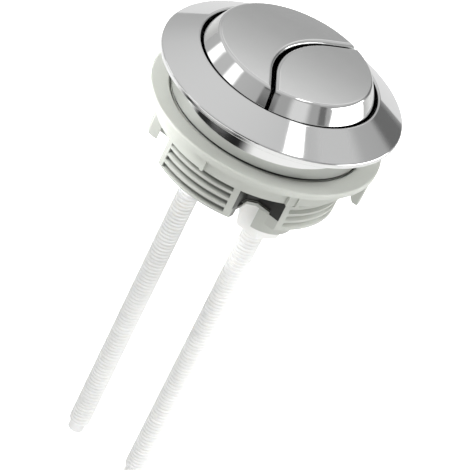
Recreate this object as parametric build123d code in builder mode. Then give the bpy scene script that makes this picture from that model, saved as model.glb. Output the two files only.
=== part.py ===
from build123d import *
import os
from math import acos, asin, cos, degrees, pi, radians, sin

# Dual-flush push button for a cistern lid. A chrome bezel and two chrome buttons stand over a threaded
# plastic body, which a ring nut clamps to the lid from below. Each button pushes a sprung hexagonal plunger,
# and a long threaded rod screwed into the plunger reaches down to the flush valve.
# The origin is on the button's axis, in the plane where the bezel's rim rests on the lid. +Z points up, out
# of the cistern, and the two rods hang from the X axis. All sizes are in millimetres.

# Threaded body
thread_r = 29.0
thread_pitch = 2.5
thread_depth = 1.0
groove_mouth = 1.7
groove_root = 0.6
groove_foot_margin = 2.23
groove_end_margin = 4.0
body_depth = 29.3
body_foot_chamfer = 0.4
body_top_gap = 0.7
spigot_wall = 1.5
floor_thickness = 1.0
floor_lip = 0.8
deck_below_skirt = 1.1
deck_thickness = 1.2
arm_half_x = 12.0
arm_half_y = 12.6
arm_corner_chamfer = 2.3
chamber_wall = 1.0
window_lip_x = 1.0
window_lip_y = 4.4

# Bezel
skirt_step = 0.4
skirt_wall = 1.4
skirt_depth = 9.9
rim_overhang = 7.1
rim_height = 1.5
rim_round = 0.7
rim_foot_round = 0.3
lip_overhang = 1.25
lip_depth = 2.0
mouth_z = 6.8
mouth_round = 0.5
cone_wall = 1.7
seat_width = 1.8

# Snap bead that holds the bezel's skirt on the body's spigot
snap_below_lid = 7.2
snap_height = 0.3
snap_half_width = 0.6
fit_gap = 0.1

# Buttons
button_top_z = 11.2
button_taper = 2.5
button_crown = 0.25
button_edge_round = 1.1
button_wall = 1.6
ring_gap = 1.25
press_travel = 7.0
moving_gap = 0.3

# Curved parting line between the two buttons, symmetric about X
split_gap = 1.4
split_corner_x = -7.4
split_angle = 57.0
split_round = 27.0

# Lugs that catch under the bezel's lip
lug_reach = 0.65
lug_height = 1.4
lug_width = 6.0
lug_count = 3
half_lug_spread = 45.0
full_lug_spread = 70.0

# Rods, and the hexagonal plungers that they screw into
full_rod_x = -11.0
half_rod_x = 12.4
rod_r = 3.4
rod_length = 119.0
rod_engaged = 15.0
rod_pilot_r = 2.6
rod_pilot_length = 3.4
rod_chamfer = 0.5
rod_gap = 0.05
rod_socket_depth = 31.0
stem_hex_r = 7.9
stem_below_body = 13.7
stem_nose_length = 5.0
stem_nose_taper = 7.0
plunger_head_thickness = 1.4
plunger_head_margin = 0.65
plunger_spigot_r = 5.0
plunger_spigot_length = 9.0
boss_wall = 1.5
flange_gap = 0.6

# Half-round guides under the floor, on the outer side of each plunger
guide_wall = 0.85
guide_gap = 0.55
guide_depth = 9.2
guide_start = 1.6

# Return springs
wire_r = 0.45
spring_gap = 0.55
spring_turns = 6

# Ring nut
nut_bore_gap = 0.3
nut_wall = 1.7
nut_height = 8.0
nut_skirt_gap = 0.5
nut_lead_chamfer = 0.6
nut_flange_width = 4.4
nut_flange_thickness = 1.8
nut_flange_round = 0.6
finger_count = 2
finger_first_angle = 6.0
finger_thickness = 2.0
finger_drop = 6.6
finger_tip_width = 1.7
panel_before_finger = 93.0
panel_sweep = 49.0
panel_depth = 0.6
grip_rib_width = 1.1
grip_rib_height = 0.5
grip_rib_pair = 5.5

# Sizes that follow from those above
skirt_r = thread_r + skirt_step
skirt_bore_r = skirt_r - skirt_wall
spigot_r = skirt_bore_r - fit_gap
barrel_bore_r = spigot_r - spigot_wall
rim_r = skirt_r + rim_overhang
far = 2 * rim_r
mouth_r = skirt_bore_r - lip_overhang
lip_bottom_z = mouth_z - lip_depth
button_wall_r = mouth_r - ring_gap
button_top_r = button_wall_r - button_taper
lug_r = mouth_r + lug_reach
button_bottom_z = lip_bottom_z - moving_gap - lug_height
button_depth = button_top_z - button_bottom_z
body_top_z = button_bottom_z - press_travel - body_top_gap
body_bottom_z = -body_depth
floor_top_z = body_bottom_z + floor_thickness
deck_top_z = -skirt_depth - deck_below_skirt
deck_bottom_z = deck_top_z - deck_thickness
window_x = arm_half_x + window_lip_x
window_y = arm_half_y + window_lip_y
stem_bottom_z = body_bottom_z - stem_below_body
rod_tip_z = stem_bottom_z + rod_engaged - rod_length
rod_bore_r = rod_r + rod_gap
coil_r = stem_hex_r + spring_gap + wire_r
plunger_head_r = coil_r + wire_r + plunger_head_margin
plunger_head_top_z = button_bottom_z - press_travel - flange_gap
plunger_head_bottom_z = plunger_head_top_z - plunger_head_thickness
guide_bore_r = stem_hex_r + guide_gap
nut_bore_r = thread_r + nut_bore_gap
nut_hub_r = nut_bore_r + nut_wall
nut_flange_r = nut_hub_r + nut_flange_width
nut_top_z = -skirt_depth - nut_skirt_gap
nut_bottom_z = nut_top_z - nut_height
nut_flange_bottom_z = nut_top_z - nut_flange_thickness


def radial_plane(angle):
    """Upright plane through the axis, with its X outwards at the angle and its Y up."""
    a = radians(angle)
    return Plane(origin=(0, 0, 0), x_dir=(cos(a), sin(a), 0), z_dir=(sin(a), -cos(a), 0))


def cone_z(r):
    """Height of the bezel's cone at a radius."""
    return mouth_z - (mouth_z - rim_height) * (r - mouth_r) / (rim_r - mouth_r)


def split_region(side, inset):
    """One side of the parting line, +1 for half flush and -1 for full flush, held off the line by inset."""
    run = (far * cos(radians(split_angle)), far * sin(radians(split_angle)))
    corner = (split_corner_x, 0)
    low_end = (split_corner_x + run[0], -run[1])
    high_end = (split_corner_x + run[0], run[1])
    with BuildSketch() as region:
        with BuildLine():
            FilletPolyline(low_end, corner, high_end, radius=split_round)
            Polyline(high_end, (2 * far * side, run[1]), (2 * far * side, -run[1]), low_end)
        make_face()
        offset(amount=-inset, kind=Kind.INTERSECTION, mode=Mode.REPLACE)
    return region.sketch


def cross_outline(inset):
    """Cross-shaped outline of the body's chamber, drawn in by inset."""
    with BuildSketch() as cross:
        Rectangle(2 * arm_half_x, far)
        Rectangle(far, 2 * arm_half_y)
        chamfer(cross.vertices().sort_by_distance((0, 0))[:4], arm_corner_chamfer)
        if inset > 0:
            offset(amount=-inset, kind=Kind.INTERSECTION, mode=Mode.REPLACE)
    return cross.sketch


def button_solid(side, top_z, drop, inset):
    """Domed and tapered disc cut along the parting line; inset draws the whole form in."""
    with BuildPart() as disc:
        with BuildSketch(Plane.XZ):
            with BuildLine():
                TangentArc((0, top_z + button_crown), (button_top_r - inset, top_z), tangent=(1, 0))
                Polyline(
                    (0, top_z + button_crown),
                    (0, top_z - drop),
                    (button_wall_r - inset, top_z - drop),
                    (button_wall_r - inset, top_z - button_top_z + mouth_z),
                    (button_top_r - inset, top_z),
                )
            make_face()
        revolve(axis=Axis.Z)
        with BuildSketch(Plane.XY.offset(top_z - drop)):
            add(split_region(side, split_gap / 2 + inset))
        extrude(amount=drop + 2 * button_crown, mode=Mode.INTERSECT)
    return disc.part


def make_button(label, side, rod_x, lug_start, lug_range):
    """Chrome cap: a thin shell with a boss for its plunger and lugs that catch under the bezel's lip."""
    cavity = button_solid(side, button_top_z - button_wall, button_depth - button_wall, button_wall)
    boss_r = plunger_spigot_r + fit_gap + boss_wall
    with BuildPart() as button:
        add(button_solid(side, button_top_z, button_depth, 0))
        fillet(button.faces().sort_by(Axis.Z)[-1].edges(), button_edge_round)
        add(cavity, mode=Mode.SUBTRACT)
        with BuildSketch(Plane.XY.offset(plunger_head_top_z)):
            with Locations((rod_x, 0)):
                Circle(boss_r)
        extrude(amount=button_top_z - button_wall / 2 - plunger_head_top_z)
        with BuildSketch(Plane.XY.offset(plunger_head_top_z)):
            with Locations((rod_x, 0)):
                Circle(plunger_spigot_r + fit_gap)
        extrude(amount=plunger_spigot_length + fit_gap, mode=Mode.SUBTRACT)
        with BuildSketch(Plane.XY.offset(button_bottom_z)):
            with PolarLocations(lug_r - lug_width / 2, lug_count, lug_start, lug_range, endpoint=True):
                Rectangle(lug_width, lug_width)
            Circle(lug_r, mode=Mode.INTERSECT)
            Circle(button_wall_r - button_wall / 2, mode=Mode.SUBTRACT)
        extrude(amount=lug_height)
    button.part.label = label
    export_step(button.part, f"parts/{label}.step")


def make_plunger(label, rod_x):
    """White plunger: hexagonal stem with a socket for the rod, a flange for the spring, a spigot on top."""
    nose_top_z = stem_bottom_z + stem_nose_length
    with BuildPart() as plunger:
        with BuildSketch(Plane.XY.offset(nose_top_z)):
            with Locations((rod_x, 0)):
                RegularPolygon(stem_hex_r, 6)
        extrude(amount=plunger_head_bottom_z - nose_top_z)
        with BuildSketch(Plane.XY.offset(nose_top_z)):
            with Locations((rod_x, 0)):
                RegularPolygon(stem_hex_r, 6)
        extrude(amount=-stem_nose_length, taper=stem_nose_taper)
        with BuildSketch(Plane.XY.offset(plunger_head_bottom_z)):
            with Locations((rod_x, 0)):
                Circle(plunger_head_r)
        extrude(amount=plunger_head_thickness)
        with BuildSketch(Plane.XY.offset(plunger_head_top_z)):
            with Locations((rod_x, 0)):
                Circle(plunger_spigot_r)
        extrude(amount=plunger_spigot_length)
        with BuildSketch(Plane.XY.offset(stem_bottom_z)):
            with Locations((rod_x, 0)):
                Circle(rod_bore_r)
        extrude(amount=rod_socket_depth, mode=Mode.SUBTRACT)
    plunger.part.label = label
    export_step(plunger.part, f"parts/{label}.step")


def make_spring(label, rod_x):
    """Coil spring round the plunger's stem, in tilted half turns from the chamber's floor to the flange."""
    rise = (plunger_head_bottom_z - floor_top_z - 2 * wire_r) / spring_turns / 2
    with BuildPart() as spring:
        for half_turn in range(2 * spring_turns):
            side = 1 if half_turn % 2 == 0 else -1
            start_z = floor_top_z + wire_r + half_turn * rise
            with BuildSketch(Plane.XZ):
                with Locations((rod_x + side * coil_r, start_z)):
                    Circle(wire_r)
            turn_axis = Axis((rod_x, 0, start_z + rise / 2), (side * rise / 2, 0, coil_r))
            revolve(axis=turn_axis, revolution_arc=180)
    spring.part.label = label
    export_step(spring.part, f"parts/{label}.step")


def make_rod(label, rod_x):
    """Push rod at the outside of its thread, with a plain pilot at the tip."""
    with BuildPart() as rod:
        with BuildSketch(Plane.XY.offset(rod_tip_z + rod_pilot_length)):
            with Locations((rod_x, 0)):
                Circle(rod_r)
        extrude(amount=rod_length - rod_pilot_length)
        chamfer(rod.edges().sort_by(Axis.Z)[-1], rod_chamfer)
        with BuildSketch(Plane.XY.offset(rod_tip_z)):
            with Locations((rod_x, 0)):
                Circle(rod_pilot_r)
        extrude(amount=rod_pilot_length)
        chamfer(rod.edges().sort_by(Axis.Z)[0], rod_chamfer)
    rod.part.label = label
    export_step(rod.part, f"parts/{label}.step")


os.makedirs("parts", exist_ok=True)

# Bezel: a thin conical ring with a seat at its rim, a lip at its mouth and a skirt that goes through the lid
with BuildPart() as bezel:
    seat_inner_r = rim_r - seat_width
    with BuildSketch(Plane.XZ) as bezel_profile:
        with BuildLine():
            Polyline(
                (rim_r, 0),
                (rim_r, rim_height),
                (mouth_r, mouth_z),
                (mouth_r, lip_bottom_z),
                (skirt_bore_r, lip_bottom_z),
                (skirt_bore_r, -skirt_depth),
                (skirt_r, -skirt_depth),
                (skirt_r, cone_z(skirt_r) - cone_wall),
                (seat_inner_r, cone_z(seat_inner_r) - cone_wall),
                (seat_inner_r, 0),
                close=True,
            )
        make_face()
        fillet(bezel_profile.vertices().sort_by_distance((rim_r, rim_height))[0], rim_round)
        fillet(bezel_profile.vertices().sort_by_distance((rim_r, 0))[0], rim_foot_round)
        fillet(bezel_profile.vertices().sort_by_distance((mouth_r, mouth_z))[0], mouth_round)
    revolve(axis=Axis.Z)
    with BuildSketch(Plane.XZ):
        with BuildLine():
            Polyline(
                (skirt_bore_r, -snap_below_lid - snap_half_width - fit_gap),
                (skirt_bore_r + snap_height, -snap_below_lid),
                (skirt_bore_r, -snap_below_lid + snap_half_width + fit_gap),
                close=True,
            )
        make_face()
    revolve(axis=Axis.Z, mode=Mode.SUBTRACT)
bezel.part.label = "bezel"
export_step(bezel.part, "parts/bezel.step")

# Threaded body: a barrel in four thread sectors round a cross-shaped chamber, with a pocket at each corner
with BuildPart() as threaded_body:
    with BuildSketch(Plane.XZ) as barrel_profile:
        with BuildLine():
            Polyline(
                (0, body_bottom_z),
                (thread_r, body_bottom_z),
                (thread_r, -skirt_depth),
                (spigot_r, -skirt_depth),
                (spigot_r, -snap_below_lid - snap_half_width),
                (spigot_r + snap_height, -snap_below_lid),
                (spigot_r, -snap_below_lid + snap_half_width),
                (spigot_r, body_top_z),
                (0, body_top_z),
                close=True,
            )
        make_face()
        chamfer(barrel_profile.vertices().sort_by_distance((thread_r, body_bottom_z))[0], body_foot_chamfer)
    revolve(axis=Axis.Z)

    # Helical thread, cut groove by groove in each sector and stopped short of the sector's edges
    long_sector = degrees(asin(window_y / thread_r)) - groove_end_margin
    short_sector = 90 - degrees(acos(window_x / thread_r)) - groove_end_margin
    lead = thread_pitch / (2 * pi * thread_r)
    proud = thread_depth / 2
    flank = (groove_mouth - groove_root) / 2
    proud_half = groove_mouth / 2 + flank * proud / thread_depth
    for sector_angle in (-90, 0, 90, 180):
        half_sector = long_sector if sector_angle in (0, 180) else short_sector
        a = radians(sector_angle)
        tilt_axis = Vector(lead * sin(a), -lead * cos(a), 1)
        first_z = body_bottom_z + groove_foot_margin + thread_pitch * sector_angle / 360
        groove_count = int((-skirt_depth - groove_mouth - first_z) / thread_pitch) + 1
        for groove in range(groove_count):
            centre = (0, 0, first_z + groove * thread_pitch)
            ring = Plane(origin=centre, x_dir=(cos(a), sin(a), 0), z_dir=tilt_axis)
            start = ring.rotated((0, 0, -half_sector))
            with BuildSketch(Plane(origin=centre, x_dir=start.x_dir, z_dir=-start.y_dir)):
                with BuildLine():
                    Polyline(
                        (thread_r + proud, proud_half),
                        (thread_r - thread_depth, groove_root / 2),
                        (thread_r - thread_depth, -groove_root / 2),
                        (thread_r + proud, -proud_half),
                        close=True,
                    )
                make_face()
            revolve(axis=Axis(centre, tilt_axis), revolution_arc=2 * half_sector, mode=Mode.SUBTRACT)

    # Corner pockets, open below and through the barrel's wall, with the floor's edge as a lip under their walls
    for low_z, high_z, lip in ((body_bottom_z, floor_top_z, 0), (floor_top_z, deck_bottom_z, floor_lip)):
        with BuildSketch(Plane.XY.offset(low_z)):
            Circle(barrel_bore_r)
            add(cross_outline(lip), mode=Mode.SUBTRACT)
            with GridLocations(2 * window_x + far, 2 * window_y + far, 2, 2):
                Rectangle(far, far)
        extrude(amount=high_z - low_z, mode=Mode.SUBTRACT)

    # Cross-shaped chamber, opening into the round bore above the deck
    with BuildSketch(Plane.XY.offset(floor_top_z)):
        Circle(barrel_bore_r)
        add(cross_outline(floor_lip + chamber_wall), mode=Mode.INTERSECT)
    extrude(amount=deck_top_z - floor_top_z, mode=Mode.SUBTRACT)
    with BuildSketch(Plane.XY.offset(deck_top_z)):
        Circle(barrel_bore_r)
    extrude(amount=body_top_z - deck_top_z, mode=Mode.SUBTRACT)

    # Half-round guides below the floor, then the hexagonal holes that the plungers slide in
    for rod_x, side in ((full_rod_x, -1), (half_rod_x, 1)):
        with BuildSketch(Plane.XY.offset(body_bottom_z - guide_depth)):
            with Locations((rod_x, 0)):
                Circle(guide_bore_r + guide_wall)
                Circle(guide_bore_r, mode=Mode.SUBTRACT)
            with Locations((rod_x + side * (guide_start - far / 2), 0)):
                Rectangle(far, far, mode=Mode.SUBTRACT)
        extrude(amount=guide_depth + floor_thickness / 2)
    with BuildSketch(Plane.XY.offset(body_bottom_z)):
        with Locations((full_rod_x, 0), (half_rod_x, 0)):
            RegularPolygon(stem_hex_r + moving_gap, 6)
    extrude(amount=floor_thickness, mode=Mode.SUBTRACT)
threaded_body.part.label = "threaded_body"
export_step(threaded_body.part, "parts/threaded_body.step")

# Ring nut: a flange and a threaded hub, with two fingers to turn it by and a ribbed thumb panel beside each
with BuildPart() as ring_nut:
    with BuildSketch(Plane.XZ) as nut_profile:
        with BuildLine():
            Polyline(
                (nut_bore_r, nut_top_z),
                (nut_flange_r, nut_top_z),
                (nut_flange_r, nut_flange_bottom_z),
                (nut_hub_r, nut_flange_bottom_z),
                (nut_hub_r, nut_bottom_z),
                (nut_bore_r, nut_bottom_z),
                close=True,
            )
        make_face()
        fillet(nut_profile.vertices().sort_by_distance((nut_flange_r, nut_top_z))[0], nut_flange_round)
        chamfer(nut_profile.vertices().sort_by_distance((nut_bore_r, nut_top_z))[0], nut_lead_chamfer)
        chamfer(nut_profile.vertices().sort_by_distance((nut_bore_r, nut_bottom_z))[0], nut_lead_chamfer)
    revolve(axis=Axis.Z)
    finger_step = 360 / finger_count
    finger_bottom_z = nut_flange_bottom_z - finger_drop
    for finger in range(finger_count):
        finger_angle = finger_first_angle + finger * finger_step
        with BuildSketch(radial_plane(finger_angle)):
            with BuildLine():
                Polyline(
                    (nut_hub_r - nut_wall / 2, nut_flange_bottom_z + nut_flange_thickness / 2),
                    (nut_flange_r, nut_flange_bottom_z + nut_flange_thickness / 2),
                    (nut_flange_r, finger_bottom_z),
                    (nut_flange_r - finger_tip_width, finger_bottom_z),
                    (nut_hub_r - nut_wall / 2, nut_flange_bottom_z - nut_wall),
                    close=True,
                )
            make_face()
        extrude(amount=finger_thickness / 2, both=True)
        panel_start = finger_angle - panel_before_finger
        panel_end = panel_start + panel_sweep
        hub_middle_z = (nut_bottom_z + nut_flange_bottom_z) / 2
        hub_height = nut_flange_bottom_z - nut_bottom_z
        with BuildSketch(radial_plane(panel_start)):
            with Locations((nut_hub_r, hub_middle_z)):
                Rectangle(2 * panel_depth, hub_height)
        revolve(axis=Axis.Z, revolution_arc=panel_sweep, mode=Mode.SUBTRACT)
        for rib_angle in (panel_start, panel_end, panel_end + grip_rib_pair):
            with BuildSketch(radial_plane(rib_angle)):
                with Locations((nut_hub_r, hub_middle_z)):
                    Rectangle(2 * grip_rib_height, hub_height)
            extrude(amount=grip_rib_width / 2, both=True)
ring_nut.part.label = "ring_nut"
export_step(ring_nut.part, "parts/ring_nut.step")

make_button("full_flush_button", -1, full_rod_x, 180 - full_lug_spread, 2 * full_lug_spread)
make_button("half_flush_button", 1, half_rod_x, -half_lug_spread, 2 * half_lug_spread)
for flush, x in (("full_flush", full_rod_x), ("half_flush", half_rod_x)):
    make_plunger(f"{flush}_plunger", x)
    make_spring(f"{flush}_spring", x)
    make_rod(f"{flush}_rod", x)
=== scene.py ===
import logging
import math
from collections.abc import Callable, Sequence
from dataclasses import dataclass, field
from enum import Enum

import bpy
from mathutils import Matrix, Vector


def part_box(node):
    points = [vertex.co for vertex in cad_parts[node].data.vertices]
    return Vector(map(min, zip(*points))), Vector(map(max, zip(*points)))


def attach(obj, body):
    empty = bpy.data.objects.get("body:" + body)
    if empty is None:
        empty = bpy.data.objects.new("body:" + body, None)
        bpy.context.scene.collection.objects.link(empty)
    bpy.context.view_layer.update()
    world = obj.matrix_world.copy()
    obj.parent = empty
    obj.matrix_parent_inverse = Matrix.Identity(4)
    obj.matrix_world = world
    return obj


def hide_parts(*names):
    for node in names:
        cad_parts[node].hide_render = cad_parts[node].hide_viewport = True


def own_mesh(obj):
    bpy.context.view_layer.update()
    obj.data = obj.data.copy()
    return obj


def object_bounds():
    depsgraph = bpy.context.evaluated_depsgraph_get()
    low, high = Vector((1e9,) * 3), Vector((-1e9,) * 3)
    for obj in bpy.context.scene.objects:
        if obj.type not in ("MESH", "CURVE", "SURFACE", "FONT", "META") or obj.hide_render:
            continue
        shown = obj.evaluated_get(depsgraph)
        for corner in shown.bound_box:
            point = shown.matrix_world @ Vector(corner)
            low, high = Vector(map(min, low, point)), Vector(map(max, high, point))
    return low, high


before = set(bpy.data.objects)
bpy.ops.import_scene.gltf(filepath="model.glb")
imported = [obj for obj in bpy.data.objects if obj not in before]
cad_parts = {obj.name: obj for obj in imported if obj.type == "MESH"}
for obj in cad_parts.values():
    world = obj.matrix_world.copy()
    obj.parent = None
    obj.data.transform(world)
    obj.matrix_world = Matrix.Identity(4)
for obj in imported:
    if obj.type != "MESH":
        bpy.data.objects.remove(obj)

CAD_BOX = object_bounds()
MM = 0.001
MERGE_DISTANCE = 1e-6
FLAT_ANGLE = math.radians(0.3)
NOISE_LOW = 0.3
NOISE_HIGH = 0.7
CARD_BLACK = (0.02, 0.02, 0.02)
log = logging.getLogger("cistern_button")

Point = tuple[float, float]
Colour = tuple[float, float, float]


class Body(str, Enum):
    """The bodies that move against each other."""

    HOUSING = "housing"
    NUT = "nut"
    FULL_FLUSH = "full_flush"
    HALF_FLUSH = "half_flush"
    FULL_ROD = "full_flush_push_rod"
    HALF_ROD = "half_flush_push_rod"


class Slot(str, Enum):
    """The finishes that the record names."""

    CHROME_TRIM = "chrome_trim"
    CHROME_BUTTONS = "chrome_buttons"
    BODY_PLASTIC = "body_plastic"
    NUT_PLASTIC = "nut_plastic"
    WHITE_NYLON = "white_nylon"
    ROD_NYLON = "rod_nylon"
    SPRING_STEEL = "spring_steel"


class Bench:
    """The modelling bench: the operators that shape a piece, as by hand."""

    @staticmethod
    def clear() -> None:
        """Leave edit mode and deselect everything."""
        active = bpy.context.view_layer.objects.active
        if active is not None and active.mode != "OBJECT":
            bpy.ops.object.mode_set(mode="OBJECT")
        bpy.ops.object.select_all(action="DESELECT")

    @staticmethod
    def pick(*pieces: bpy.types.Object) -> None:
        """Select these pieces alone, with the first as the active one.

        Args:
            pieces: the pieces.
        """
        Bench.clear()
        for piece in pieces:
            piece.select_set(True)
        bpy.context.view_layer.objects.active = pieces[0]

    @staticmethod
    def edit(piece: bpy.types.Object) -> None:
        """Open a piece in edit mode with all of it selected.

        Args:
            piece: the piece.
        """
        Bench.pick(piece)
        bpy.ops.object.mode_set(mode="EDIT")
        bpy.ops.mesh.select_mode(type="VERT")
        bpy.ops.mesh.select_all(action="SELECT")

    @staticmethod
    def close() -> None:
        """Merge the seams of the piece in edit mode, point its faces outwards and leave edit mode."""
        bpy.ops.mesh.select_all(action="SELECT")
        bpy.ops.mesh.remove_doubles(threshold=MERGE_DISTANCE)
        bpy.ops.mesh.dissolve_degenerate(threshold=MERGE_DISTANCE)
        bpy.ops.mesh.select_all(action="SELECT")
        bpy.ops.mesh.normals_make_consistent(inside=False)
        bpy.ops.object.mode_set(mode="OBJECT")

    @staticmethod
    def turn(name: str, outline: Sequence[Point], segments: int, axis_x: float = 0.0) -> bpy.types.Object:
        """Turn a closed outline round an upright axis.

        Args:
            name: the piece's name.
            outline: corners as radius and height, in metres; the last joins the first.
            segments: steps round the axis.
            axis_x: where the axis stands on X.

        Returns:
            The turned piece.
        """
        Bench.clear()
        bpy.ops.mesh.primitive_plane_add(size=MM)
        piece = bpy.context.object
        piece.name = name
        Bench.edit(piece)
        bpy.ops.mesh.merge(type="CENTER")
        here = (0.0, 0.0)
        for index, there in enumerate([*outline, outline[0]]):
            step = {"value": (there[0] - here[0], 0.0, there[1] - here[1])}
            if index == 0:
                bpy.ops.transform.translate(**step)
            else:
                bpy.ops.mesh.extrude_vertices_move(TRANSFORM_OT_translate=step)
            here = there
        bpy.ops.mesh.select_all(action="SELECT")
        bpy.ops.mesh.remove_doubles(threshold=MERGE_DISTANCE)
        bpy.ops.mesh.spin(steps=segments, angle=math.tau, center=(0, 0, 0), axis=(0, 0, 1))
        bpy.ops.mesh.select_all(action="SELECT")
        bpy.ops.transform.translate(value=(axis_x, 0, 0))
        Bench.close()
        return piece

    @staticmethod
    def lay(name: str, columns: int, rows: int, place: Callable[[int, int], Vector]) -> bpy.types.Object:
        """Lay a grid over a surface and merge its seams.

        Args:
            name: the piece's name.
            columns: crossings along a row.
            rows: number of rows.
            place: gives the point of a crossing from its column and row.

        Returns:
            The laid piece.
        """
        Bench.clear()
        bpy.ops.mesh.primitive_grid_add(x_subdivisions=columns - 1, y_subdivisions=rows - 1, size=1.0)
        piece = bpy.context.object
        piece.name = name
        for index, vertex in enumerate(piece.data.vertices):
            vertex.co = place(index % columns, index // columns)
        Bench.edit(piece)
        Bench.close()
        return piece

    @staticmethod
    def copy_of(node: str, name: str) -> bpy.types.Object:
        """Copy a frame node's mesh, joined up and with its flat faces whole.

        Args:
            node: the frame node.
            name: the copy's name.

        Returns:
            The copy, apart from the frame.
        """
        Bench.clear()
        piece = bpy.data.objects.new(name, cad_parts[node].data.copy())
        bpy.context.scene.collection.objects.link(piece)
        Bench.edit(piece)
        bpy.ops.mesh.remove_doubles(threshold=MERGE_DISTANCE)
        bpy.ops.mesh.dissolve_limited(angle_limit=FLAT_ANGLE)
        bpy.ops.object.mode_set(mode="OBJECT")
        return piece

    @staticmethod
    def round_edges(piece: bpy.types.Object, width: float, segments: int = 2, angle: float = 40.0) -> None:
        """Round a piece's sharp edges.

        Args:
            piece: the piece.
            width: how far the rounding reaches from the edge.
            segments: steps across it.
            angle: edges sharper than this many degrees are rounded.
        """
        Bench.pick(piece)
        rounding = piece.modifiers.new("edge_round", "BEVEL")
        rounding.width = width
        rounding.segments = segments
        rounding.limit_method = "ANGLE"
        rounding.angle_limit = math.radians(angle)
        bpy.ops.object.modifier_apply(modifier=rounding.name)

    @staticmethod
    def smooth(piece: bpy.types.Object, angle: float = 32.0, weighted: bool = True) -> None:
        """Shade a piece smooth up to an angle, with large faces leading.

        Args:
            piece: the piece.
            angle: the angle, in degrees.
            weighted: whether large faces lead.
        """
        Bench.pick(piece)
        bpy.ops.object.shade_smooth_by_angle(angle=math.radians(angle))
        if weighted:
            lead = piece.modifiers.new("large_faces_lead", "WEIGHTED_NORMAL")
            lead.keep_sharp = True
            bpy.ops.object.modifier_apply(modifier=lead.name)

    @staticmethod
    def join(pieces: Sequence[bpy.types.Object]) -> bpy.types.Object:
        """Join pieces into the first one and return it.

        Args:
            pieces: the pieces.

        Returns:
            The first one, with the rest in it.
        """
        Bench.pick(*pieces)
        bpy.ops.object.join()
        return pieces[0]

    @staticmethod
    def block(name: str, low: Vector, high: Vector, turned: float = 0.0) -> bpy.types.Object:
        """Shape a cube to a box, then turn it round the upright axis at the origin.

        Args:
            name: the piece's name.
            low: the box's low corner.
            high: its high corner.
            turned: degrees round Z.

        Returns:
            The block.
        """
        Bench.clear()
        bpy.ops.mesh.primitive_cube_add(size=1.0)
        piece = bpy.context.object
        piece.name = name
        Bench.edit(piece)
        bpy.ops.transform.resize(value=high - low)
        bpy.ops.transform.translate(value=(high + low) / 2)
        bpy.ops.object.mode_set(mode="OBJECT")
        piece.data.transform(Matrix.Rotation(math.radians(turned), 4, "Z"))
        return piece


@dataclass(frozen=True)
class Corner:
    """A corner of a turned outline, in millimetres: radius, height and the rounding there."""

    r: float
    z: float
    rounding: float = 0.0

    def at(self) -> Vector:
        """The corner's place in its plane.

        Returns:
            Radius and height, in millimetres.
        """
        return Vector((self.r, self.z))


def outline_of(corners: Sequence[Corner], arc_steps: int = 7, hold: float = 0.12) -> list[Point]:
    """Draw a closed outline with rounded corners and a point held close to each end of a straight run.

    Args:
        corners: the corners in order.
        arc_steps: steps across a rounding.
        hold: how far from a corner the held points lie, in millimetres.

    Returns:
        Points as radius and height, in metres.
    """
    bends: list[list[Vector]] = []
    for index, corner in enumerate(corners):
        before = corners[index - 1].at() - corner.at()
        after = corners[(index + 1) % len(corners)].at() - corner.at()
        if corner.rounding == 0:
            bends.append([corner.at()])
            continue
        half = before.angle(after) / 2
        reach = corner.rounding / math.tan(half)
        middle = corner.at() + (before.normalized() + after.normalized()).normalized() * (
            corner.rounding / math.sin(half)
        )
        start = corner.at() + before.normalized() * reach - middle
        sweep = (corner.at() + after.normalized() * reach - middle).angle_signed(start)
        bends.append(
            [middle + Matrix.Rotation(sweep * step / arc_steps, 2) @ start for step in range(arc_steps + 1)]
        )
    points: list[Vector] = []
    for index, bend in enumerate(bends):
        points.extend(bend)
        leaving, arriving = bend[-1], bends[(index + 1) % len(bends)][0]
        run = arriving - leaving
        if run.length > 3 * hold:
            points.append(leaving + run.normalized() * hold)
            points.append(arriving - run.normalized() * hold)
    return [(point.x * MM, point.y * MM) for point in points]


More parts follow.
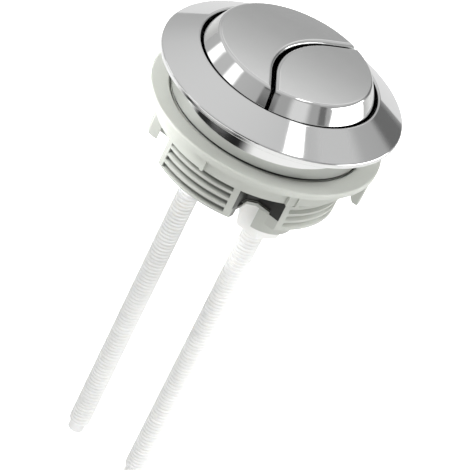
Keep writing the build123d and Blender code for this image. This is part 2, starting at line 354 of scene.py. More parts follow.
@dataclass(frozen=True)
class Finish:
    """What every finish shares: a name, a colour and how it scatters light."""

    name: str
    colour: Colour
    roughness: float

    def material(self) -> bpy.types.Material:
        """Make the material, with its shader set and its own detail added.

        Returns:
            The material, made once for each finish.
        """
        material = bpy.data.materials.get(self.name)
        if material is None:
            material = bpy.data.materials.new(self.name)
            material.use_nodes = True
            shader = material.node_tree.nodes["Principled BSDF"]
            shader.inputs["Base Color"].default_value = (*self.colour, 1.0)
            shader.inputs["Roughness"].default_value = self.roughness
            self.detail(material.node_tree, shader)
        return material

    def detail(self, tree: bpy.types.NodeTree, shader: bpy.types.Node) -> None:
        """Add what this finish has of its own.

        Args:
            tree: the material's nodes.
            shader: its shader.
        """

    @staticmethod
    def noise(tree: bpy.types.NodeTree, scale: float, detail: float = 3.0) -> bpy.types.NodeSocket:
        """Add noise on the object's own coordinates and return its value.

        Args:
            tree: the material's nodes.
            scale: cells to a metre.
            detail: finer layers on top.

        Returns:
            The noise value's socket.
        """
        place = tree.nodes.new("ShaderNodeTexCoord")
        noise = tree.nodes.new("ShaderNodeTexNoise")
        noise.inputs["Scale"].default_value = scale
        noise.inputs["Detail"].default_value = detail
        tree.links.new(place.outputs["Object"], noise.inputs["Vector"])
        return noise.outputs["Fac"]

    @staticmethod
    def spread(
        tree: bpy.types.NodeTree, value: bpy.types.NodeSocket, low: float, high: float
    ) -> bpy.types.NodeSocket:
        """Map the span that noise mostly fills onto a low and a high and return the result.

        Args:
            tree: the material's nodes.
            value: the noise value.
            low: what the span's low end becomes.
            high: what its high end becomes.

        Returns:
            The result's socket.
        """
        ramp = tree.nodes.new("ShaderNodeMapRange")
        ramp.inputs["From Min"].default_value = NOISE_LOW
        ramp.inputs["From Max"].default_value = NOISE_HIGH
        ramp.inputs["To Min"].default_value = low
        ramp.inputs["To Max"].default_value = high
        tree.links.new(value, ramp.inputs["Value"])
        return ramp.outputs["Result"]

    @staticmethod
    def work(
        tree: bpy.types.NodeTree,
        operation: str,
        first: bpy.types.NodeSocket,
        second: bpy.types.NodeSocket | float | None = None,
    ) -> bpy.types.NodeSocket:
        """Add a sum on one or two values and return its result.

        Args:
            tree: the material's nodes.
            operation: the sum's kind.
            first: its first value.
            second: its second value, a socket or a plain number, where it has one.

        Returns:
            The result's socket.
        """
        node = tree.nodes.new("ShaderNodeMath")
        node.operation = operation
        tree.links.new(first, node.inputs[0])
        if isinstance(second, float):
            node.inputs[1].default_value = second
        elif second is not None:
            tree.links.new(second, node.inputs[1])
        return node.outputs["Value"]

    @staticmethod
    def squared(tree: bpy.types.NodeTree, value: bpy.types.NodeSocket) -> bpy.types.NodeSocket:
        """The square of a value.

        Args:
            tree: the material's nodes.
            value: the value.

        Returns:
            The square's socket.
        """
        return Finish.work(tree, "MULTIPLY", value, value)

    @staticmethod
    def place(tree: bpy.types.NodeTree) -> tuple[bpy.types.NodeSocket, ...]:
        """The point's place on the part.

        Args:
            tree: the material's nodes.

        Returns:
            The sockets of its place across and along the part and of its height.
        """
        split = tree.nodes.new("ShaderNodeSeparateXYZ")
        place = tree.nodes.new("ShaderNodeTexCoord")
        tree.links.new(place.outputs["Object"], split.inputs["Vector"])
        return tuple(split.outputs)

    @staticmethod
    def radius(
        tree: bpy.types.NodeTree, across: bpy.types.NodeSocket, along: bpy.types.NodeSocket
    ) -> bpy.types.NodeSocket:
        """The point's distance from the part's axis.

        Args:
            tree: the material's nodes.
            across: its place across the part.
            along: its place along the part.

        Returns:
            The distance's socket.
        """
        squares = Finish.work(tree, "ADD", Finish.squared(tree, across), Finish.squared(tree, along))
        return Finish.work(tree, "SQRT", squares)

    @staticmethod
    def blend(
        tree: bpy.types.NodeTree,
        shader: bpy.types.Node,
        colour: Sequence[float],
        share: bpy.types.NodeSocket,
    ) -> None:
        """Blend another colour over the shader's own.

        Args:
            tree: the material's nodes.
            shader: its shader.
            colour: the other colour.
            share: how much of it shows.
        """
        mix = tree.nodes.new("ShaderNodeMix")
        mix.data_type = "RGBA"
        own = shader.inputs["Base Color"]
        mix.inputs["A"].default_value = own.default_value
        if own.is_linked:
            tree.links.new(own.links[0].from_socket, mix.inputs["A"])
        mix.inputs["B"].default_value = (*colour, 1.0)
        tree.links.new(share, mix.inputs["Factor"])
        tree.links.new(mix.outputs["Result"], own)

    @staticmethod
    def bump(
        tree: bpy.types.NodeTree, shader: bpy.types.Node, height: bpy.types.NodeSocket, depth: float
    ) -> None:
        """Raise the surface by a height value, up to a depth in metres.

        Args:
            tree: the material's nodes.
            shader: its shader.
            height: the height value.
            depth: how far the highest points rise, in metres.
        """
        bump = tree.nodes.new("ShaderNodeBump")
        bump.inputs["Distance"].default_value = depth
        tree.links.new(height, bump.inputs["Height"])
        tree.links.new(bump.outputs["Normal"], shader.inputs["Normal"])

    def mottle(
        self, tree: bpy.types.NodeTree, shader: bpy.types.Node, scale: float, change: float
    ) -> None:
        """Vary the colour a little over the surface.

        Args:
            tree: the material's nodes.
            shader: its shader.
            scale: patches to a metre.
            change: how much darker the dark patches are.
        """
        mix = tree.nodes.new("ShaderNodeMix")
        mix.data_type = "RGBA"
        mix.inputs["A"].default_value = (*(c * (1 - change) for c in self.colour), 1.0)
        mix.inputs["B"].default_value = (*self.colour, 1.0)
        share = self.spread(tree, self.noise(tree, scale), 0.0, 1.0)
        tree.links.new(share, mix.inputs["Factor"])
        tree.links.new(mix.outputs["Result"], shader.inputs["Base Color"])

    def uneven_gloss(
        self, tree: bpy.types.NodeTree, shader: bpy.types.Node, scale: float, span: Point
    ) -> None:
        """Vary the gloss a little over the surface.

        Args:
            tree: the material's nodes.
            shader: its shader.
            scale: patches to a metre.
            span: the least and the most roughness, as shares of the finish's own.
        """
        low, high = (self.roughness * share for share in span)
        gloss = self.spread(tree, self.noise(tree, scale), low, high)
        tree.links.new(gloss, shader.inputs["Roughness"])


@dataclass(frozen=True)
class ChromePlate(Finish):
    """Bright plating on moulded plastic, with a faint waviness from the mould."""

    gloss_scale: float = 260.0
    gloss_span: Point = (0.7, 1.4)
    wave_scale: float = 90.0
    wave_layers: float = 1.0
    wave_depth: float = 0.000012
    # where the painted shade in the gap round the buttons lies, and how dark it makes the chrome
    gap_r: float = 26.95 * MM
    gap_z: float = 5.7 * MM
    painted_gap_darkness: float = 0.03

    def detail(self, tree: bpy.types.NodeTree, shader: bpy.types.Node) -> None:
        """Make it a mirror, a little uneven in gloss and flatness, with painted shade in the gap round the
        buttons.

        Args:
            tree: the material's nodes.
            shader: its shader.
        """
        shader.inputs["Metallic"].default_value = 1.0
        across, along, up = self.place(tree)
        radius = self.radius(tree, across, along)
        within = self.work(tree, "LESS_THAN", radius, self.gap_r)
        below = self.work(tree, "LESS_THAN", up, self.gap_z)
        # painted shade: chrome inside the gap's radius and below its height is blended to near black, so the
        # gap round the buttons reads as shadow
        painted_gap_shade = [c * self.painted_gap_darkness for c in self.colour]
        self.blend(tree, shader, painted_gap_shade, self.work(tree, "MULTIPLY", within, below))
        self.uneven_gloss(tree, shader, self.gloss_scale, self.gloss_span)
        self.bump(tree, shader, self.noise(tree, self.wave_scale, self.wave_layers), self.wave_depth)


@dataclass(frozen=True)
class PaintedHollowShade:
    """Painted shade where the body lies in shade: its deep pockets, the slit over the nut and its thread's
    grooves.
    """

    pocket_r: float = 26.3 * MM
    pocket_foot_z: float = -28.2 * MM
    pocket_top_z: float = -12.0 * MM
    window_foot_z: float = -25.9 * MM
    window_x: float = 12.95 * MM
    window_y: float = 16.95 * MM
    slit_z: float = -10.6 * MM
    groove_root_r: float = 28.0 * MM
    groove_mouth_r: float = 28.95 * MM
    groove_y: float = 17.1 * MM
    groove_shade: float = 0.75
    # how dark the painted shade makes the body's colour, as a share of it
    dark: float = 0.05

    def share(self, tree: bpy.types.NodeTree) -> bpy.types.NodeSocket:
        """How much of a point's colour the painted shade takes.

        Args:
            tree: the material's nodes.

        Returns:
            The socket of a value from 0 in the open to 1 in a hollow.
        """
        across, along, up = Finish.place(tree)
        radius = Finish.radius(tree, across, along)
        off_y = Finish.work(tree, "ABSOLUTE", along)
        past_y = Finish.work(tree, "GREATER_THAN", off_y, self.window_y)
        # painted shade over the barrel above the slit's height, so the slit over the nut reads as a dark
        # line
        slit = Finish.work(tree, "GREATER_THAN", up, self.slit_z)
        groove = self.groove(tree, radius, off_y)
        pocket = self.pocket(tree, (across, up), radius, past_y)
        return Finish.work(tree, "MAXIMUM", Finish.work(tree, "MAXIMUM", pocket, slit), groove)

    def pocket(
        self,
        tree: bpy.types.NodeTree,
        place: tuple[bpy.types.NodeSocket, bpy.types.NodeSocket],
        radius: bpy.types.NodeSocket,
        past_y: bpy.types.NodeSocket,
    ) -> bpy.types.NodeSocket:
        """Painted shade in the pockets on the side away from the light, between the floor and the deck.

        Args:
            tree: the material's nodes.
            place: the point's place across the part and its height.
            radius: its distance from the axis.
            past_y: 1 where it lies past the windows' edges along the part.

        Returns:
            The socket of a value that is 1 in a pocket.
        """
        across, up = place
        inside = Finish.work(tree, "LESS_THAN", radius, self.pocket_r)
        past_x = Finish.work(tree, "GREATER_THAN", across, self.window_x)
        above = Finish.work(tree, "GREATER_THAN", up, self.pocket_foot_z)
        well = Finish.work(tree, "MULTIPLY", inside, above)
        higher = Finish.work(tree, "GREATER_THAN", up, self.window_foot_z)
        jamb = Finish.work(tree, "MULTIPLY", Finish.work(tree, "MULTIPLY", past_x, past_y), higher)
        below = Finish.work(tree, "LESS_THAN", up, self.pocket_top_z)
        off_light = Finish.work(tree, "GREATER_THAN", across, 0.0)
        where = Finish.work(tree, "MULTIPLY", below, off_light)
        return Finish.work(tree, "MULTIPLY", Finish.work(tree, "MAXIMUM", well, jamb), where)

    def groove(
        self, tree: bpy.types.NodeTree, radius: bpy.types.NodeSocket, off_y: bpy.types.NodeSocket
    ) -> bpy.types.NodeSocket:
        """Painted shade in the thread's grooves on the two long sides, darker towards their roots.

        Args:
            tree: the material's nodes.
            radius: the point's distance from the axis.
            off_y: how far it lies from the part's middle plane.

        Returns:
            The socket of a value that grows towards the grooves' roots.
        """
        # painted shade: darkness grows from the grooves' mouths to their roots
        ramp = tree.nodes.new("ShaderNodeMapRange")
        ramp.inputs["From Min"].default_value = self.groove_mouth_r
        ramp.inputs["From Max"].default_value = self.groove_root_r
        ramp.inputs["To Min"].default_value = 0.0
        ramp.inputs["To Max"].default_value = self.groove_shade
        tree.links.new(radius, ramp.inputs["Value"])
        long_side = Finish.work(tree, "GREATER_THAN", off_y, self.groove_y)
        return Finish.work(tree, "MULTIPLY", ramp.outputs["Result"], long_side)


@dataclass(frozen=True)
class MouldedPlastic(Finish):
    """Opaque moulded plastic with a fine grain."""

    light_bend: float = 1.5
    mottle_scale: float = 120.0
    mottle_change: float = 0.05
    gloss_scale: float = 500.0
    gloss_span: Point = (0.85, 1.2)
    grain_scale: float = 2600.0
    grain_depth: float = 0.000012
    # painted shade for the hollows, where the finish has it
    painted_shade: PaintedHollowShade | None = None

    def detail(self, tree: bpy.types.NodeTree, shader: bpy.types.Node) -> None:
        """Add the grain and a slight mottle, and painted shade in the hollows where it has them.

        Args:
            tree: the material's nodes.
            shader: its shader.
        """
        shader.inputs["IOR"].default_value = self.light_bend
        self.mottle(tree, shader, self.mottle_scale, self.mottle_change)
        if self.painted_shade is not None:
            # painted shade: the colour is blended towards near black in the pockets, the slit and the
            # thread's grooves
            dark = [c * self.painted_shade.dark for c in self.colour]
            self.blend(tree, shader, dark, self.painted_shade.share(tree))
        self.uneven_gloss(tree, shader, self.gloss_scale, self.gloss_span)
        self.bump(tree, shader, self.noise(tree, self.grain_scale), self.grain_depth)


@dataclass(frozen=True)
class MilkyNylon(Finish):
    """White nylon that lets a little light through."""

    glow_share: float = 0.35
    glow_colour: Colour = (1.0, 0.95, 0.85)
    glow_depth: float = 0.0025
    mottle_scale: float = 160.0
    mottle_change: float = 0.03
    grain_scale: float = 1800.0
    grain_depth: float = 0.00001

    def detail(self, tree: bpy.types.NodeTree, shader: bpy.types.Node) -> None:
        """Let light into the surface, with a faint mottle and a soft grain.

        Args:
            tree: the material's nodes.
            shader: its shader.
        """
        shader.inputs["Subsurface Weight"].default_value = self.glow_share
        shader.inputs["Subsurface Radius"].default_value = self.glow_colour
        shader.inputs["Subsurface Scale"].default_value = self.glow_depth
        self.mottle(tree, shader, self.mottle_scale, self.mottle_change)
        self.bump(tree, shader, self.noise(tree, self.grain_scale), self.grain_depth)


@dataclass(frozen=True)
class SpringWire(Finish):
    """Bright drawn steel wire."""

    gloss_scale: float = 3000.0
    gloss_span: Point = (0.8, 1.3)

    def detail(self, tree: bpy.types.NodeTree, shader: bpy.types.Node) -> None:
        """Make it metal with a faint drawn grain.

        Args:
            tree: the material's nodes.
            shader: its shader.
        """
        shader.inputs["Metallic"].default_value = 1.0
        self.uneven_gloss(tree, shader, self.gloss_scale, self.gloss_span)


@dataclass(frozen=True)
class StudioSheet(Finish):
    """A matt studio surface: a floor or a card, dark or glowing, that may fade out towards its edges."""

    glow: float = 0.0
    fade: float = 0.0

    def detail(self, tree: bpy.types.NodeTree, shader: bpy.types.Node) -> None:
        """Take the sheen off it, add the glow and fade the edges.

        Args:
            tree: the material's nodes.
            shader: its shader.
        """
        shader.inputs["Specular IOR Level"].default_value = 0.0
        shader.inputs["Emission Color"].default_value = (1.0, 1.0, 1.0, 1.0)
        shader.inputs["Emission Strength"].default_value = self.glow
        if self.fade > 0:
            clear = tree.nodes.new("ShaderNodeBsdfTransparent")
            mix = tree.nodes.new("ShaderNodeMixShader")
            tree.links.new(self.edge_mask(tree), mix.inputs["Fac"])
            tree.links.new(clear.outputs["BSDF"], mix.inputs[1])
            tree.links.new(shader.outputs["BSDF"], mix.inputs[2])
            tree.links.new(mix.outputs["Shader"], tree.nodes["Material Output"].inputs["Surface"])

    def edge_mask(self, tree: bpy.types.NodeTree) -> bpy.types.NodeSocket:
        """Make a value that is 0 at the sheet's edges and 1 inside them.

        Args:
            tree: the material's nodes.

        Returns:
            The value's socket.
        """
        place = tree.nodes.new("ShaderNodeTexCoord")
        split = tree.nodes.new("ShaderNodeSeparateXYZ")
        tree.links.new(place.outputs["UV"], split.inputs["Vector"])
        middle = 0.5
        both = tree.nodes.new("ShaderNodeMath")
        both.operation = "MULTIPLY"
        for index, axis in enumerate("XY"):
            fold = tree.nodes.new("ShaderNodeMath")
            fold.operation = "PINGPONG"
            fold.inputs[1].default_value = middle
            ramp = tree.nodes.new("ShaderNodeMapRange")
            ramp.interpolation_type = "SMOOTHSTEP"
            ramp.inputs["From Max"].default_value = self.fade / 2
            tree.links.new(split.outputs[axis], fold.inputs[0])
            tree.links.new(fold.outputs["Value"], ramp.inputs["Value"])
            tree.links.new(ramp.outputs["Result"], both.inputs[index])
        return both.outputs["Value"]


CHROME = ChromePlate("bright_chrome_plate", (0.80, 0.804, 0.803), 0.05)
BUTTON_CHROME = ChromePlate("button_chrome_plate", (0.80, 0.804, 0.80), 0.06)
# the body plastic carries painted shade in its hollows
BODY_PLASTIC = MouldedPlastic("light_grey_body_plastic", (0.47, 0.484, 0.447), 0.36, painted_shade=PaintedHollowShade())
NUT_PLASTIC = MouldedPlastic("light_grey_nut_plastic", (0.50, 0.515, 0.476), 0.33)
STEM_NYLON = MilkyNylon("milky_stem_nylon", (0.88, 0.88, 0.86), 0.32)
ROD_NYLON = MilkyNylon("milky_rod_nylon", (0.864, 0.864, 0.855), 0.36)
SPRING_STEEL = SpringWire("drawn_spring_wire", (0.60, 0.60, 0.61), 0.24)
FLOOR = StudioSheet("pale_studio_floor", (0.93, 0.93, 0.93), 0.9, glow=1.0)
TABLE = StudioSheet("pale_studio_table", (0.85, 0.85, 0.84), 0.9)
BOUNCE = StudioSheet("white_bounce_sheet", (0.85, 0.85, 0.85), 0.9, glow=0.3)
CUTTER = StudioSheet("black_cutter_sheet", CARD_BLACK, 0.9)


def hand_over(piece: bpy.types.Object, finish: Finish, slot: Slot, body: Body, node: str) -> None:
    """Dress a finished piece, set it on its body and let it stand for its frame node.

    Args:
        piece: the finished piece.
        finish: its finish.
        slot: the record's name for that finish; not used.
        body: the body that it moves with.
        node: the frame node that it replaces.
    """
    piece.data.materials.clear()
    piece.data.materials.append(finish.material())
    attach(piece, body.value)
    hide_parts(node)
    log.info("%s: %d faces on %s", piece.name, len(piece.data.polygons), body.value)


@dataclass
class Bezel:
    """The chrome ring: a cone from mouth to rim, and the skirt that goes through the lid."""

    rim_r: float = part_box("bezel")[1].x / MM
    skirt_foot_z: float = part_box("bezel")[0].z / MM
    rim_height: float = 1.5
    mouth_r: float = 26.75
    mouth_z: float = 6.8
    lip_depth: float = 2.0
    skirt_r: float = 29.4
    skirt_wall: float = 1.4
    cone_wall: float = 1.7
    seat_width: float = 1.8
    foot_round: float = 0.3
    rim_round: float = 0.7
    mouth_round: float = 0.5
    skirt_round: float = 0.25
    neck_round: float = 0.3
    seat_round: float = 0.2
    segments: int = 288

    def cone_z(self, r: float) -> float:
        """Height of the cone at a radius.

        Args:
            r: the radius, in millimetres.

        Returns:
            The height, in millimetres.
        """
        drop = (self.mouth_z - self.rim_height) * (r - self.mouth_r)
        return self.mouth_z - drop / (self.rim_r - self.mouth_r)

    def build(self) -> bpy.types.Object:
        """Turn the ring and dress it in chrome.

        Returns:
            The ring.
        """
        seat_r = self.rim_r - self.seat_width
        bore_r = self.skirt_r - self.skirt_wall
        corners = [
            Corner(self.rim_r, 0.0, self.foot_round),
            Corner(self.rim_r, self.rim_height, self.rim_round),
            Corner(self.mouth_r, self.mouth_z, self.mouth_round),
            Corner(self.mouth_r, self.mouth_z - self.lip_depth),
            Corner(bore_r, self.mouth_z - self.lip_depth),
            Corner(bore_r, self.skirt_foot_z),
            Corner(self.skirt_r, self.skirt_foot_z, self.skirt_round),
            Corner(self.skirt_r, self.cone_z(self.skirt_r) - self.cone_wall, self.neck_round),
            Corner(seat_r, self.cone_z(seat_r) - self.cone_wall, self.seat_round),
            Corner(seat_r, 0.0),
        ]
        piece = Bench.turn("bezel_ring", outline_of(corners), self.segments)
        Bench.smooth(piece)
        hand_over(piece, CHROME, Slot.CHROME_TRIM, Body.HOUSING, "bezel")
        return piece


class Side(Enum):
    """The two sides of the parting line."""

    FULL = -1
    HALF = 1


@dataclass
class Button:
    """One chrome button: a thin crowned cap cut along the curved parting line."""

    side: Side
    rod_x: float
    pole_x: float
    lug_angles: tuple[float, ...]
    wall_r: float = 25.9
    top_r: float = 23.0
    top_z: float = 11.2
    taper_z: float = 6.1
    foot_z: float = 3.1
    crown: float = 0.25
    edge_round: float = 1.1
    wall: float = 1.6
    gap: float = 1.15
    corner_x: float = -7.4
    leg_angle: float = 57.0
    bend_r: float = 27.0
    lug_reach: float = 1.5
    lug_height: float = 1.4
    lug_width: float = 6.0
    boss_r: float = 6.6
    boss_bore_r: float = 5.1
    boss_foot_z: float = -4.5
    rim_steps: int = 168
    leg_steps: int = 26
    bend_steps: int = 76
    round_steps: int = 9
    cap_steps: int = 16
    ceiling_steps: int = 3
    boss_steps: int = 64
    taper_hold: float = 0.15
    round_hold: float = 0.5
    smooth_angle: float = 40.0

    def name(self) -> str:
        """The frame's name for this button, without its ending.

        Returns:
            The name.
        """
        return "full_flush" if self.side is Side.FULL else "half_flush"

    def parting_line(self, radius: float, inset: float) -> list[Vector]:
        """The button's side of the parting line, from below the X axis to above it.

        Args:
            radius: where the line runs out on the rim.
            inset: how far the line is drawn in from the button's edge.

        Returns:
            Points in plan, in millimetres.
        """
        leg = math.radians(self.leg_angle)
        centre = Vector((self.corner_x + self.bend_r / math.sin(leg), 0.0))
        bend = self.bend_r - self.side.value * (self.gap / 2 + inset)
        half_bend = math.pi / 2 - leg
        upper = []
        foot = centre + bend * Vector((-math.sin(leg), math.cos(leg)))
        along = Vector((math.cos(leg), math.sin(leg)))
        reach = -foot.dot(along) + math.sqrt(foot.dot(along) ** 2 - foot.length_squared + radius**2)
        for step in range(1, self.leg_steps + 1):
            upper.append(foot + along * (reach * step / self.leg_steps))
        bow = []
        for step in range(self.bend_steps + 1):
            angle = math.pi + half_bend - 2 * half_bend * step / self.bend_steps
            bow.append(centre + bend * Vector((math.cos(angle), math.sin(angle))))
        lower = [Vector((point.x, -point.y)) for point in reversed(upper)]
        return lower + bow + upper

    def taper_r(self, z: float) -> float:
        """Radius of the tapered side at a height.

        Args:
            z: the height, in millimetres.

        Returns:
            The radius, in millimetres.
        """
        share = max(0.0, min(1.0, (z - self.taper_z) / (self.top_z - self.taper_z)))
        return self.wall_r + (self.top_r - self.wall_r) * share

    def rounded_r(self, turn: float) -> float:
        """Radius of the rounded top edge when it has turned this far from upright.

        Args:
            turn: the turn, in radians.

        Returns:
            The radius, in millimetres.
        """
        slope = math.atan2(self.wall_r - self.top_r, self.top_z - self.taper_z)
        if turn < slope:
            return self.taper_r(self.top_z - self.edge_round * (1 - math.sin(turn)))
        middle = self.top_r - self.edge_round * (1 - math.sin(slope)) / math.cos(slope)
        return middle + self.edge_round * math.cos(turn)

    def crowned(self, point: Vector, z: float) -> Vector:
        """A point of the crowned top, in metres.

        Args:
            point: its place in plan, in millimetres.
            z: the height of the flat top there, in millimetres.

        Returns:
            The point.
        """
        rise = self.crown * (1 - point.length_squared / self.top_r**2)
        return Vector((point.x, point.y, z + rise)) * MM

    def rings(self) -> list[list[Vector]]:
        """The rings of points from the middle of the top, over the edge and back to the middle inside.

        Returns:
            The rings in order, in metres.
        """
        pole = Vector((self.pole_x, 0.0))
        rings = []
        inset = self.edge_round
        top_edge = self.edge_of(self.rounded_r(math.pi / 2), inset)
        for step in range(self.cap_steps):
            share = math.sin(math.pi / 2 * step / self.cap_steps)
            rings.append([self.crowned(pole.lerp(point, share), self.top_z) for point in top_edge])
        for step in range(self.round_steps, -1, -1):
            turn = math.pi / 2 * step / self.round_steps
            inset = self.edge_round * (1 - math.cos(turn))
            z = self.top_z - self.edge_round * (1 - math.sin(turn))
            rings.append([self.crowned(point, z) for point in self.edge_of(self.rounded_r(turn), inset)])
        side_heights = (
            self.top_z - self.edge_round - self.round_hold,
            self.taper_z + self.taper_hold,
            self.taper_z,
            self.taper_z - self.taper_hold,
            self.foot_z,
        )
        for z in side_heights:
            rings.append([Vector((p.x, p.y, z)) * MM for p in self.edge_of(self.taper_r(z), 0.0)])
        inside_top_z = self.top_z - self.wall
        inner = [
            (self.foot_z, self.wall_r),
            (self.taper_z - self.wall, self.wall_r),
            (inside_top_z, self.top_r),
        ]
        for z, radius in inner:
            rings.append([Vector((p.x, p.y, z)) * MM for p in self.edge_of(radius - self.wall, self.wall)])
        ceiling = self.edge_of(self.top_r - self.wall, self.wall)
        for step in range(1, self.ceiling_steps + 1):
            share = 1 - step / self.ceiling_steps
            rings.append([Vector((*pole.lerp(point, share), inside_top_z)) * MM for point in ceiling])
        return rings

    def edge_of(self, rim_r: float, inset: float) -> list[Vector]:
        """The closed edge with its rim at a given radius and its parting line drawn in by inset.

        Args:
            rim_r: the rim's radius.
            inset: how far the parting line is drawn in.

        Returns:
            Points in plan, in millimetres.
        """
        line = self.parting_line(rim_r, inset)
        if self.side is Side.HALF:
            line.reverse()
        start, end = math.atan2(line[-1].y, line[-1].x), math.atan2(line[0].y, line[0].x)
        sweep = (end - start) % math.tau
        turns = [start + sweep * step / self.rim_steps for step in range(1, self.rim_steps + 1)]
        return line + [rim_r * Vector((math.cos(turn), math.sin(turn))) for turn in turns]

    def build(self, body: Body) -> bpy.types.Object:
        """Lay the cap, add its boss and lugs, and dress it in chrome.

        Args:
            body: the body that it moves with.

        Returns:
            The button.
        """
        rings = self.rings()
        columns = len(rings[0]) + 1
        cap = Bench.lay(
            f"{self.name()}_cap", columns, len(rings), lambda column, row: rings[row][column % (columns - 1)]
        )
        Bench.smooth(cap, self.smooth_angle, weighted=False)
        ceiling_z = self.top_z - self.wall
        boss_corners = [
            Corner(self.boss_r, self.boss_foot_z),
            Corner(self.boss_r, ceiling_z),
            Corner(self.boss_bore_r, ceiling_z),
            Corner(self.boss_bore_r, self.boss_foot_z),
        ]
        boss_outline = outline_of(boss_corners)
        boss = Bench.turn(f"{self.name()}_boss", boss_outline, self.boss_steps, self.rod_x * MM)
        lugs = []
        for angle in self.lug_angles:
            low = Vector((self.wall_r - self.wall / 2, -self.lug_width / 2, self.foot_z))
            high = Vector((self.wall_r + self.lug_reach, self.lug_width / 2, self.foot_z + self.lug_height))
            lugs.append(Bench.block(f"{self.name()}_lug", low * MM, high * MM, angle))
        piece = Bench.join([cap, boss, *lugs])
        hand_over(piece, BUTTON_CHROME, Slot.CHROME_BUTTONS, body, f"{self.name()}_button")
        return piece


@dataclass
class PushRod:
    """A long white rod with a fine thread, a plain pilot at its foot and a chamfer at both ends."""

    flush: str
    body: Body
    crest_r: float = 3.4
    root_r: float = 2.95
    pitch: float = 1.25
    pilot_r: float = 2.6
    pilot_length: float = 3.4
    chamfer: float = 0.5
    steepness: float = 1.6
    rows_per_turn: int = 12
    around: int = 36
    smooth_angle: float = 50.0
    low: Vector = field(init=False)
    high: Vector = field(init=False)

    def __post_init__(self) -> None:
        """Take the rod's place and length from the frame."""
        self.low, self.high = (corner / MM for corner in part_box(f"{self.flush}_rod"))

    def thread_r(self, z: float, angle: float) -> float:
        """Radius of the thread at a height and an angle, with rounded crests and roots.

        Args:
            z: the height, in millimetres.
            angle: the angle, in radians.

        Returns:
            The radius, in millimetres.
        """
        phase = (z / self.pitch - angle / math.tau) % 1.0
        wave = 0.5 + 0.5 * math.cos(math.tau * phase)
        sharp = max(0.0, min(1.0, (wave - 0.5) * self.steepness + 0.5))
        rounded = sharp * sharp * (3 - 2 * sharp)
        return self.root_r + (self.crest_r - self.root_r) * rounded

    def build(self) -> bpy.types.Object:
        """Lay the threaded rod and dress it in nylon.

        Returns:
            The rod.
        """
        axis = (self.low + self.high) / 2
        foot_z, top_z = self.low.z, self.high.z
        thread_foot = foot_z + self.pilot_length
        heights = [
            (foot_z, 0.0),
            (foot_z, self.pilot_r - self.chamfer),
            (foot_z + self.chamfer, self.pilot_r),
            (thread_foot, self.pilot_r),
        ]
        first = len(heights)
        turns = (top_z - thread_foot) / self.pitch
        count = round(turns * self.rows_per_turn)
        for row in range(count + 1):
            heights.append((thread_foot + (top_z - thread_foot) * row / count, self.crest_r))
        last = len(heights) - 1
        heights.append((top_z, 0.0))

        def place(column: int, row: int) -> Vector:
            """A point of the rod: on its thread between the ends, or on its plain ends.

            Args:
                column: its step round the rod.
                row: its step up the rod.

            Returns:
                The point, in metres.
            """
            angle = math.tau * (column % self.around) / self.around
            z, r = heights[row]
            if first <= row <= last:
                run_out = min(z - thread_foot, top_z - z) + self.pilot_r
                r = min(self.thread_r(z, angle), max(self.pilot_r, run_out))
            return Vector((axis.x + r * math.cos(angle), axis.y + r * math.sin(angle), z)) * MM

        piece = Bench.lay(f"{self.flush}_threaded_rod", self.around + 1, len(heights), place)
        Bench.smooth(piece, self.smooth_angle, weighted=False)
        hand_over(piece, ROD_NYLON, Slot.ROD_NYLON, self.body, f"{self.flush}_rod")
        return piece


@dataclass
class ReturnSpring:
    """A coil round a plunger's stem; the real one shortens as its button goes down."""

    flush: str
    wire_r: float = 0.45
    turns: int = 6
    steps_per_turn: int = 40
    around: int = 10
    travel: float = 7.0
    smooth_angle: float = 60.0

    def build(self) -> bpy.types.Object:
        """Lay the wire along its coil and dress it in steel.

        Returns:
            The spring.
        """
        node = f"{self.flush}_spring"
        low, high = (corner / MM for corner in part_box(node))
        axis = (low + high) / 2
        coil_r = (high.x - low.x) / 2 - self.wire_r
        rise = high.z - low.z - 2 * self.wire_r
        steps = self.turns * self.steps_per_turn

        def place(column: int, row: int) -> Vector:
            """A point of the wire's skin, with the wire closed at both ends.

            Args:
                column: its step round the wire.
                row: its step along the coil.

            Returns:
                The point, in metres.
            """
            step = min(max(row - 1, 0), steps)
            turn = math.tau * step / self.steps_per_turn
            outwards = Vector((math.cos(turn), math.sin(turn), 0.0))
            middle = Vector((axis.x, axis.y, low.z + self.wire_r + rise * step / steps)) + coil_r * outwards
            if row in (0, steps + 2):
                return middle * MM
            angle = math.tau * (column % self.around) / self.around
            skin = math.cos(angle) * outwards + math.sin(angle) * Vector((0, 0, 1))
            return (middle + self.wire_r * skin) * MM

        piece = Bench.lay(f"{self.flush}_coil", self.around + 1, steps + 3, place)
        Bench.smooth(piece, self.smooth_angle, weighted=False)
        hand_over(piece, SPRING_STEEL, Slot.SPRING_STEEL, Body.HOUSING, node)
        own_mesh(piece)
        return piece


@dataclass
class MouldedPiece:
    """A moulded piece that keeps its frame form, with its edges rounded as a mould leaves them."""

    node: str
    finish: Finish
    slot: Slot
    body: Body
    edge_round: float = 0.12
    smooth_angle: float = 40.0

    def build(self) -> bpy.types.Object:
        """Copy the frame's form, round its edges and dress it.

        Returns:
            The piece.
        """
        piece = Bench.copy_of(self.node, f"{self.node}_moulding")
        Bench.round_edges(piece, self.edge_round * MM)
        Bench.smooth(piece, self.smooth_angle)
        hand_over(piece, self.finish, self.slot, self.body, self.node)
        return piece


class Use(Enum):
    """What a studio card works on: matt surfaces, mirrors or both."""

    BOTH = "both"
    MIRRORS = "mirrors"
    FILL = "fill"


